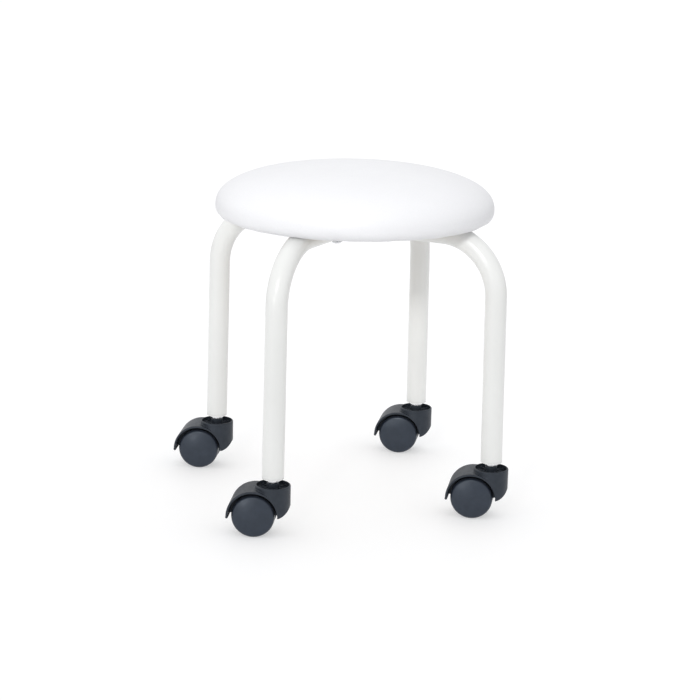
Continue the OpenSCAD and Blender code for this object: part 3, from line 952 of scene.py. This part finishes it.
def weld_shape():
    """Rippled fillet beads in the four corners of the crossing, where the tubes meet."""
    along = level_direction(ARM_ANGLES[0])
    across = level_direction(ARM_ANGLES[1])
    up = Vector((0, 0, 1))
    shapes = []
    for sx in (-1, 1):
        for sy in (-1, 1):
            rings = []
            for i in range(WELD_STEPS + 1):
                t = WELD_REACH * (2 * i / WELD_STEPS - 1)
                corner = sx * along + sy * across
                place = TUBE_R * (math.cos(t) * corner + math.sin(t) * up) + up * tube_z()
                out = (math.cos(t) * corner + 2 * math.sin(t) * up).normalized()
                forward = (-math.sin(t) * corner + math.cos(t) * up).normalized()
                phase = (i / WELD_STEPS * WELD_RIPPLES) % 1
                fade = smooth_step(min(i, WELD_STEPS - i) / WELD_STEPS * WELD_FADE)
                radius = WELD_R * (WELD_END_SHARE + (1 - WELD_END_SHARE) * fade)
                radius *= 1 + WELD_RIPPLE_DEEP * math.sqrt(phase)
                centre = place + out * WELD_R * WELD_PROUD
                rings.append(ring_at(centre, out, forward.cross(out), radius, WELD_RING_STEPS))
            shapes.append(skin(rings, capped=True))
    return joined(*shapes)


def add_frame(material):
    """The three tubes and the weld that joins them."""
    piece("frame_cross_tube", cross_tube_shape(), material, "root", "paint", "cross_tube")
    for corner, node in (("front_right", "front_right_tube"), ("back_left", "back_left_tube")):
        angle = ARM_ANGLES[CORNERS.index(corner)]
        piece("frame_" + node, half_tube_shape(angle), material, "root", "paint", node)
    piece("frame_weld_beads", weld_shape(), material, "root", "paint", "weld_beads")


def thread_radius(z, angle, major, deep, pitch):
    """Radius of a screw thread, at a height and an angle."""
    phase = (z / pitch - angle / (2 * math.pi)) % 1
    return major - deep * (1 - abs(2 * phase - 1))


def thread_levels(start, end, pitch):
    """Heights along a thread."""
    return spread(start, end, max(1, round((end - start) / pitch * THREAD_TURN_STEPS)))


def recess_depth(x, y):
    """Depth of a cross recess under a point of a screw's head."""
    x, y = abs(x), abs(y)
    along, aside = max(x, y), min(x, y)
    end = smooth_step((RECESS_R - along) / RECESS_END_SLOPE)
    wall = smooth_step((RECESS_HALF_W - aside) / RECESS_SIDE_SLOPE + 0.5)
    return RECESS_DEEP * end * wall * (1 - RECESS_TAPER * along / RECESS_R)


def screw_z():
    """Height of the screws' seats under their washers."""
    return FRAME_TOP - 2 * TUBE_R - WASHER_T


def screw_shape():
    """A pan-head screw, whose head hangs down from Z 0 and whose thread stands up from there."""
    length = BOARD_UNDER + SCREW_IN_BOARD - screw_z()

    def radius_at(z, angle):
        lead = min((length - z) / SCREW_R, 1.0)
        thread = thread_radius(z, angle, SCREW_R, SCREW_THREAD_DEEP, SCREW_PITCH)
        return min(thread, SCREW_TIP_R + (SCREW_R - SCREW_TIP_R) * lead)

    shank = turned(thread_levels(0.0, length, SCREW_PITCH), SCREW_STEPS, radius_at)
    side_z = -SCREW_HEAD_SIDE_H
    outline = [(SCREW_R - SCREW_HEAD_LAP, 0.0), (SCREW_HEAD_R - SCREW_HEAD_EDGE, 0.0)]
    outline += [(SCREW_HEAD_R, -SCREW_HEAD_EDGE), (SCREW_HEAD_R, side_z)]
    middle = (SCREW_HEAD_R - SCREW_HEAD_ROUND, side_z)
    outline += arc(middle, SCREW_HEAD_ROUND, 0, -math.pi / 2, SCREW_HEAD_ROUND_STEPS)[1:]
    rings = [circle(r, z, SCREW_HEAD_STEPS) for r, z in outline]
    edge_r, edge_z = outline[-1]
    for i in range(1, SCREW_HEAD_RINGS + 1):
        r = edge_r * (1 - i / SCREW_HEAD_RINGS)
        base = edge_z - (SCREW_HEAD_H + edge_z) * (1 - (r / edge_r) ** 2)
        rings.append([(x, y, z + recess_depth(x, y))
                      for x, y, z in circle(r, base, SCREW_HEAD_STEPS)])
    head = skin(rings)
    head[1].append(tuple(range(SCREW_HEAD_STEPS)))
    return joined(shank, head)


def add_screws(material):
    """The four seat screws, each turned as it came to rest."""
    shapes = []
    draw = random.Random(SCREW_SEED)
    for angle in ARM_ANGLES:
        place = Matrix.Rotation(angle, 4, "Z")
        place = place @ Matrix.Translation((SCREW_REACH, 0, screw_z()))
        place = place @ Matrix.Rotation(draw.uniform(0, math.pi), 4, "Z")
        shapes.append(placed(screw_shape(), place))
    piece("seat_screw_set", joined(*shapes), material, "root", "zinc", "seat_screws")


def stem_shape():
    """The stem in its caster's frame: pin, chamfered hexagon with its washer face, and thread."""
    pin_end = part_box("front_left_caster_stem")[0].z
    hex_top = LEG_END - PLUG_FLANGE_T
    hex_z = hex_top - HEX_H
    face_z = hex_z - HEX_FACE_T
    groove_z = pin_end + GROOVE_UP
    pin = [
        (0, pin_end), (STEM_R - PIN_CHAMFER, pin_end), (STEM_R, pin_end + PIN_CHAMFER),
        (STEM_R, groove_z), (STEM_R - GROOVE_DEEP, groove_z),
        (STEM_R - GROOVE_DEEP, groove_z + GROOVE_H), (STEM_R, groove_z + GROOVE_H),
        (STEM_R, face_z), (HEX_FACE_R - HEX_FACE_EDGE, face_z),
        (HEX_FACE_R, face_z + HEX_FACE_EDGE), (HEX_FACE_R, hex_z), (0, hex_z),
    ]

    def hex_radius(z, angle):
        flat = HEX_AF / 2 / math.cos((angle % (math.pi / 3)) - math.pi / 6)
        near_end = min(z - hex_z, hex_top - z)
        return min(flat, HEX_END_R + near_end * HEX_CHAMFER_SLOPE)

    levels = spread(hex_z, hex_z + HEX_CHAMFER_H, HEX_CHAMFER_STEPS)
    levels += spread(hex_top - HEX_CHAMFER_H, hex_top, HEX_CHAMFER_STEPS)
    thread_top = hex_top + STEM_THREAD_LEN

    def stem_thread(z, angle):
        lead = min((thread_top - z) / STEM_LEAD, 1)
        thread = thread_radius(z, angle, STEM_R, STEM_THREAD_DEEP, STEM_PITCH)
        return min(thread, STEM_R * (1 - STEM_LEAD_SHARE + STEM_LEAD_SHARE * lead))

    thread_zs = thread_levels(hex_top, thread_top, STEM_PITCH)
    thread = turned(thread_zs, STEM_THREAD_STEPS, stem_thread)
    return joined(lathe(pin, PIN_STEPS), turned(levels, HEX_STEPS, hex_radius), thread)


def wheel_outline():
    """The wheel's section as (radius, distance out from the caster's middle)."""
    dome_r = WHEEL_R - WHEEL_SHOULDER_R * (1 - math.sin(WHEEL_SHOULDER_ANGLE))
    dome_h = dome_r * math.tan(WHEEL_DOME / 2)
    shoulder_y = WHEEL_OUT - dome_h - WHEEL_SHOULDER_R * math.cos(WHEEL_SHOULDER_ANGLE)
    cavity_y = WHEEL_OUT - dome_h - WHEEL_FACE_T
    inner_r = WHEEL_R - WHEEL_RIM_T
    ball = dome_r / math.sin(WHEEL_DOME)
    edge = (WHEEL_R - WHEEL_EDGE, WHEEL_IN + WHEEL_EDGE)
    mouth = (inner_r + WHEEL_RIM_EDGE, WHEEL_IN + WHEEL_RIM_EDGE)
    outline = arc(mouth, WHEEL_RIM_EDGE, math.pi, 1.5 * math.pi, WHEEL_RIM_EDGE_STEPS)
    outline += arc(edge, WHEEL_EDGE, -math.pi / 2, 0, WHEEL_EDGE_STEPS)
    shoulder = (WHEEL_R - WHEEL_SHOULDER_R, shoulder_y)
    outline += arc(shoulder, WHEEL_SHOULDER_R, 0, math.pi / 2 - WHEEL_SHOULDER_ANGLE,
                   WHEEL_SHOULDER_STEPS)
    outline += arc((0, WHEEL_OUT - ball), ball, math.pi / 2 - WHEEL_DOME, math.pi / 2,
                   WHEEL_DOME_STEPS)[1:]
    edge_y = WHEEL_IN + WHEEL_HUB_EDGE
    outline += [(0, WHEEL_BORE_END), (WHEEL_BORE_R, WHEEL_BORE_END), (WHEEL_BORE_R, edge_y)]
    outline += [(WHEEL_BORE_R + WHEEL_HUB_EDGE, WHEEL_IN)]
    outline += [(WHEEL_HUB_R - WHEEL_HUB_EDGE, WHEEL_IN), (WHEEL_HUB_R, edge_y)]
    root = (WHEEL_HUB_R + WHEEL_HUB_FILLET, cavity_y - WHEEL_HUB_FILLET)
    outline += arc(root, WHEEL_HUB_FILLET, math.pi, math.pi / 2, WHEEL_HUB_FILLET_STEPS)
    corner = (inner_r - WHEEL_RIM_FILLET, cavity_y - WHEEL_RIM_FILLET)
    outline += arc(corner, WHEEL_RIM_FILLET, math.pi / 2, 0, WHEEL_RIM_FILLET_STEPS)
    return outline, inner_r, cavity_y


def wheel_mesh():
    """One wheel about Z, its face upwards, with ribs from hub to rim in its hollow."""
    outline, inner_r, cavity_y = wheel_outline()
    wheel = new_mesh("wheel", lathe(outline, WHEEL_STEPS))
    low = WHEEL_IN + WHEEL_RIB_IN
    half = WHEEL_RIB_T / 2
    near, far = WHEEL_HUB_R - WHEEL_RIB_LAP, inner_r + WHEEL_RIB_LAP
    section = (
        (low, half * WHEEL_RIB_END_SHARE),
        (low + WHEEL_RIB_EDGE, half * WHEEL_RIB_EDGE_SHARE),
        (cavity_y + WHEEL_RIB_LAP, half),
    )
    rib = skin([[(near, -w, z), (far, -w, z), (far, w, z), (near, w, z)] for z, w in section],
               capped=True)
    ribs = [placed(rib, Matrix.Rotation(angle, 4, "Z")) for angle in full_turn(WHEEL_RIBS)]
    cutter = new_mesh("ribs", joined(*ribs))
    union = wheel.modifiers.new("ribs", "BOOLEAN")
    union.operation = "UNION"
    union.solver = "EXACT"
    union.object = cutter
    apply_modifiers(wheel)
    bpy.data.objects.remove(cutter)
    mesh = wheel.data
    bpy.data.objects.remove(wheel)
    return mesh


def worn_tread(mesh):
    """Marks the tread, where the wheel is scuffed, before the wheel is put in its place."""
    worn = mesh.attributes.new("worn", "FLOAT", "POINT")
    for i, vertex in enumerate(mesh.vertices):
        radius = vertex.co.xy.length
        worn.data[i].value = smooth_step((radius - WHEEL_R + TREAD_WORN_IN) / TREAD_FADE)


# The hood is the frame's own solid, remeshed and smoothed so that all its edges are softly rounded
HOOD_VOXEL = 0.00042
HOOD_SMOOTHING = 6
HOOD_SMOOTH_SHARE = 0.5
HOOD_KEEP = 0.3


def hood_mesh():
    """One hood in its caster's own frame."""
    source = frame["nodes"]["front_left_caster_hood"]
    hood = new_object("hood", source.data.copy())
    hood.data.transform(swivel_place("front_left").inverted())
    remesh = hood.modifiers.new("voxels", "REMESH")
    remesh.mode = "VOXEL"
    remesh.voxel_size = HOOD_VOXEL
    soften = hood.modifiers.new("soften", "SMOOTH")
    soften.factor = HOOD_SMOOTH_SHARE
    soften.iterations = HOOD_SMOOTHING
    fewer = hood.modifiers.new("fewer", "DECIMATE")
    fewer.ratio = HOOD_KEEP
    apply_modifiers(hood)
    mesh = hood.data
    bpy.data.objects.remove(hood)
    return mesh


def put(name, mesh, place, material, body, slot, node):
    """A copy of a mesh at a place, riding on a body in a node's stead."""
    copy = mesh.copy()
    copy.transform(place)
    settle(new_object(name, copy), material, body, slot, node)


def add_casters(looks):
    """Each caster's stem, hood and two wheels."""
    hood = hood_mesh()
    wheel = wheel_mesh()
    worn_tread(wheel)
    axle = Matrix.Translation((caster_trail(), 0, WHEEL_R))
    for corner in CORNERS:
        place = swivel_place(corner)
        stem = placed(stem_shape(), place)
        piece(corner + "_stem", stem, looks["zinc"], "root", "zinc", corner + "_caster_stem")
        put(corner + "_hood", hood, place, looks["hood"], corner + "_caster", "hood_plastic",
            corner + "_caster_hood")
        for side, turn in (("near", -math.pi / 2), ("far", math.pi / 2)):
            stand = place @ axle @ Matrix.Rotation(turn, 4, "X")
            put(f"{corner}_{side}_wheel_shell", wheel, stand, looks["wheel"],
                f"{corner}_wheel_{side}", "wheel_plastic", f"{corner}_{side}_wheel")


def dress_frame_nodes(looks):
    """Materials for the frame's nodes that stay as they are."""
    wear = {"seat_board": "plywood", "tee_nuts": "zinc", "seat_washers": "zinc"}
    for corner in CORNERS:
        wear[corner + "_leg_plug"] = "nylon"
        wear[corner + "_stem_ring"] = "spring"
        wear[corner + "_axle"] = "zinc"
    for node, look in wear.items():
        dress(frame["nodes"][node], looks[look])


add_camera()
add_studio()
looks = {
    "vinyl": vinyl(),
    "paint": paint(),
    "zinc": bright_zinc(),
    "spring": spring_steel(),
    "nylon": nylon(),
    "plywood": plywood(),
    "hood": moulded("hood_plastic", dark=(0.020, 0.024, 0.031), light=(0.026, 0.031, 0.040),
                    shine=0.42, worn=0.0, specular=0.33),
    "wheel": moulded("wheel_plastic", dark=(0.012, 0.017, 0.027), light=(0.017, 0.023, 0.036),
                     shine=0.31, worn=0.5, specular=0.56),
}
staple_ring_r = add_seat_cover(looks["vinyl"])
add_staples(looks["zinc"], staple_ring_r)
add_frame(looks["paint"])
add_screws(looks["zinc"])
add_casters(looks)
dress_frame_nodes(looks)
